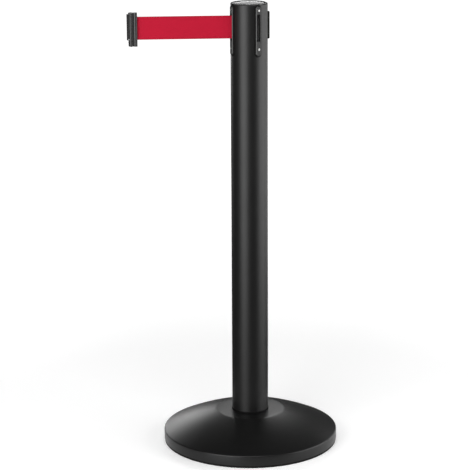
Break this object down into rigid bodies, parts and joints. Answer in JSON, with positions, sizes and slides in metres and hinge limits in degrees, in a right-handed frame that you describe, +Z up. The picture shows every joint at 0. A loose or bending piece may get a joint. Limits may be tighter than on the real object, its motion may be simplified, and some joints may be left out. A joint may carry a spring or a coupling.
{
  "type": "retractable belt stanchion",
  "caption": "Free-standing round post on a domed weighted base, with a spring-return webbing belt drawn from the head to an end clip, and slots that receive other belts.",
  "frame": {"origin": "on the floor, on the axis of the post", "axes": "+Z up along the post; the belt leaves the head towards -X, turned 24 degrees to +Y; receiver slots face -Y, +Y and +X"},
  "size_m": [0.4328, 0.381, 0.97],
  "materials": {
    "powder_coat": "satin powder coat",
    "gloss_black": "semi-gloss moulded",
    "black_plastic": "fine moulded grain",
    "clip_plastic": "satin moulded",
    "grey_plastic": "moulded",
    "belt_web": "woven polyester webbing",
    "rubber": "matte",
    "cast_iron": "as cast",
    "zinc_steel": "zinc plated",
    "bright_steel": "bright",
    "spring_steel": "blued spring steel",
    "brass": "sintered bush",
    "brake_lining": "moulded friction lining"
  },
  "bodies": {
    "post": {"base_bolt": "zinc_steel", "base_cover": "powder_coat", "base_washer": "zinc_steel", "base_weight": "cast_iron", "belt_lead": "belt_web", "brake_drum": "zinc_steel", "cassette_lower": "grey_plastic", "cassette_pillars": "zinc_steel", "cassette_screws": "zinc_steel", "cassette_upper": "grey_plastic", "floor_ring": "rubber", "foot_collar": "black_plastic", "foot_plug": "zinc_steel", "lower_bush": "brass", "mainspring": "spring_steel", "outlet_plate": "black_plastic", "plate_screws": "bright_steel", "post_tube": "powder_coat", "rear_receiver": "black_plastic", "receiver_plate_back": "black_plastic", "receiver_plate_front": "black_plastic", "receiver_pocket_back": "grey_plastic", "receiver_pocket_front": "grey_plastic", "roller_pins": "bright_steel", "spring_cover": "grey_plastic", "spring_drum": "grey_plastic", "strike_plate_back": "spring_steel", "strike_plate_front": "spring_steel", "top_cap": "gloss_black", "upper_bush": "brass"},
    "spool": {"spool_shaft": "bright_steel", "shaft_clips": "spring_steel", "belt_spool": "grey_plastic", "belt_roll": "belt_web", "spring_arbor": "zinc_steel", "brake_carrier": "zinc_steel"},
    "brake_shoe_a": {"brake_shoe_a": "brake_lining"},
    "brake_shoe_b": {"brake_shoe_b": "brake_lining"},
    "guide_roller_a": {"guide_roller_a": "grey_plastic"},
    "guide_roller_b": {"guide_roller_b": "grey_plastic"},
    "belt_end": {"belt_run": "belt_web", "hem_pin": "bright_steel", "clip_body": "clip_plastic", "clip_tongue": "black_plastic", "clip_cap_top": "clip_plastic", "clip_cap_bottom": "clip_plastic"},
    "clip_latch": {"clip_latch": "black_plastic"}
  },
  "joints": [
    {"name": "belt_pull", "type": "slide", "parent": "post", "child": "belt_end", "axis": [-0.9135, 0.4067, 0], "range_m": [-0.19, 2.08], "deforming": ["belt_run"]},
    {"name": "spool_spin", "type": "hinge", "parent": "post", "child": "spool", "pos_m": [0, 0, 0.92], "axis": [0, 0, 1], "range_deg": [-7300, 700]},
    {"name": "roller_a_spin", "type": "hinge", "parent": "post", "child": "guide_roller_a", "pos_m": [-0.0346, -0.00255, 0.92], "axis": [0, 0, 1], "range_deg": [-5000, 52000]},
    {"name": "roller_b_spin", "type": "hinge", "parent": "post", "child": "guide_roller_b", "pos_m": [-0.0346, 0.00275, 0.92], "axis": [0, 0, 1], "range_deg": [-52000, 5000]},
    {"name": "shoe_a_swing", "type": "hinge", "parent": "spool", "child": "brake_shoe_a", "pos_m": [0.01488, 0.00399, 0.957], "axis": [0, 0, 1], "range_deg": [-1.2, 0], "stiffness_Nm_per_rad": 0.01, "springref_deg": 11.46},
    {"name": "shoe_b_swing", "type": "hinge", "parent": "spool", "child": "brake_shoe_b", "pos_m": [-0.01488, -0.00399, 0.957], "axis": [0, 0, 1], "range_deg": [-1.2, 0], "stiffness_Nm_per_rad": 0.01, "springref_deg": 11.46},
    {"name": "latch_press", "type": "slide", "parent": "belt_end", "child": "clip_latch", "axis": [0, 0, 1], "range_m": [0, 0.003], "stiffness_N_per_m": 200, "springref_m": -0.004}
  ],
  "couplings": [
    {"joint": "spool_spin", "follows": "belt_pull", "rad_per_m": -60.606},
    {"joint": "roller_a_spin", "follows": "belt_pull", "rad_per_m": 434.78},
    {"joint": "roller_b_spin", "follows": "belt_pull", "rad_per_m": -434.78}
  ]
}
